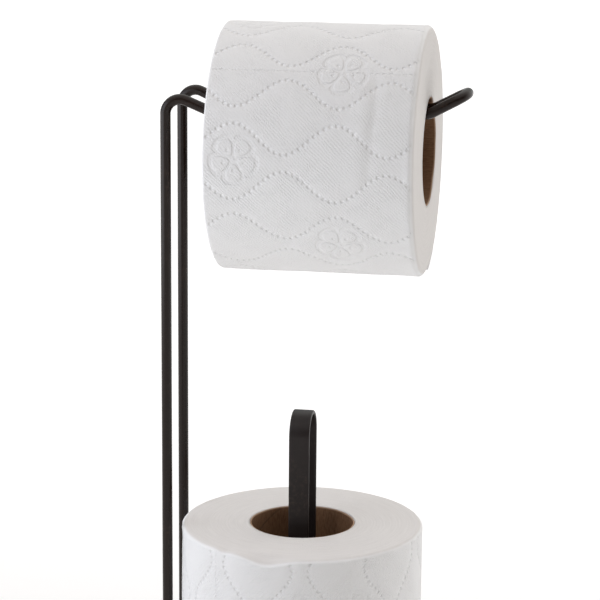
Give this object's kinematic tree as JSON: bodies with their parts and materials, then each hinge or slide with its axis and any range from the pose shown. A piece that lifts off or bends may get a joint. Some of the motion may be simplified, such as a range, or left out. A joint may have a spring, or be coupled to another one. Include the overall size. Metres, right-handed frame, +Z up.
{
  "type": "toilet paper holder",
  "caption": "Free-standing toilet paper holder: a bent wire arm carries the roll in use and an upright steel strap stores reserve rolls above a wire ring base.",
  "frame": {"origin": "on the floor, under the middle of the base ring", "axes": "+Z up; +X along the arm from the uprights to its tip; +Y to the back"},
  "size_m": [0.159, 0.159, 0.6429],
  "materials": {
    "bronze_coat": "satin",
    "strap_coat": "satin",
    "foot_rubber": "matte",
    "tissue": "matte",
    "core_board": "matte"
  },
  "bodies": {
    "stand": {"arm_wire": "bronze_coat", "upright_wire_rear": "bronze_coat", "upright_wire_near": "bronze_coat", "base_ring": "bronze_coat", "reserve_strap": "strap_coat", "foot_1": "foot_rubber", "foot_2": "foot_rubber", "foot_3": "foot_rubber", "foot_4": "foot_rubber"},
    "hanging_roll": {"hanging_roll_core": "core_board", "hanging_roll_paper": "tissue", "hanging_roll_loose_sheet": "tissue"},
    "reserve_roll_1": {"reserve_roll_1_core": "core_board", "reserve_roll_1_paper": "tissue"},
    "reserve_roll_2": {"reserve_roll_2_core": "core_board", "reserve_roll_2_paper": "tissue"},
    "reserve_roll_3": {"reserve_roll_3_core": "core_board", "reserve_roll_3_paper": "tissue"},
    "reserve_roll_4": {"reserve_roll_4_core": "core_board", "reserve_roll_4_paper": "tissue"}
  },
  "joints": [
    {"name": "hanging_roll_spin", "type": "hinge", "parent": "stand", "child": "hanging_roll", "pos_m": [0.0027, 0, 0.5839], "axis": [1, 0, 0], "continuous": true},
    {"name": "reserve_roll_1_turn", "type": "hinge", "parent": "stand", "child": "reserve_roll_1", "pos_m": [-0.008, 0, 0.0579], "axis": [0, 0, 1], "continuous": true},
    {"name": "reserve_roll_2_turn", "type": "hinge", "parent": "stand", "child": "reserve_roll_2", "pos_m": [-0.008, 0, 0.1552], "axis": [0, 0, 1], "continuous": true},
    {"name": "reserve_roll_3_turn", "type": "hinge", "parent": "stand", "child": "reserve_roll_3", "pos_m": [-0.008, 0, 0.2525], "axis": [0, 0, 1], "continuous": true},
    {"name": "reserve_roll_4_lift", "type": "slide", "parent": "stand", "child": "reserve_roll_4", "axis": [0, 0, 1], "range_m": [0, 0.12]}
  ]
}
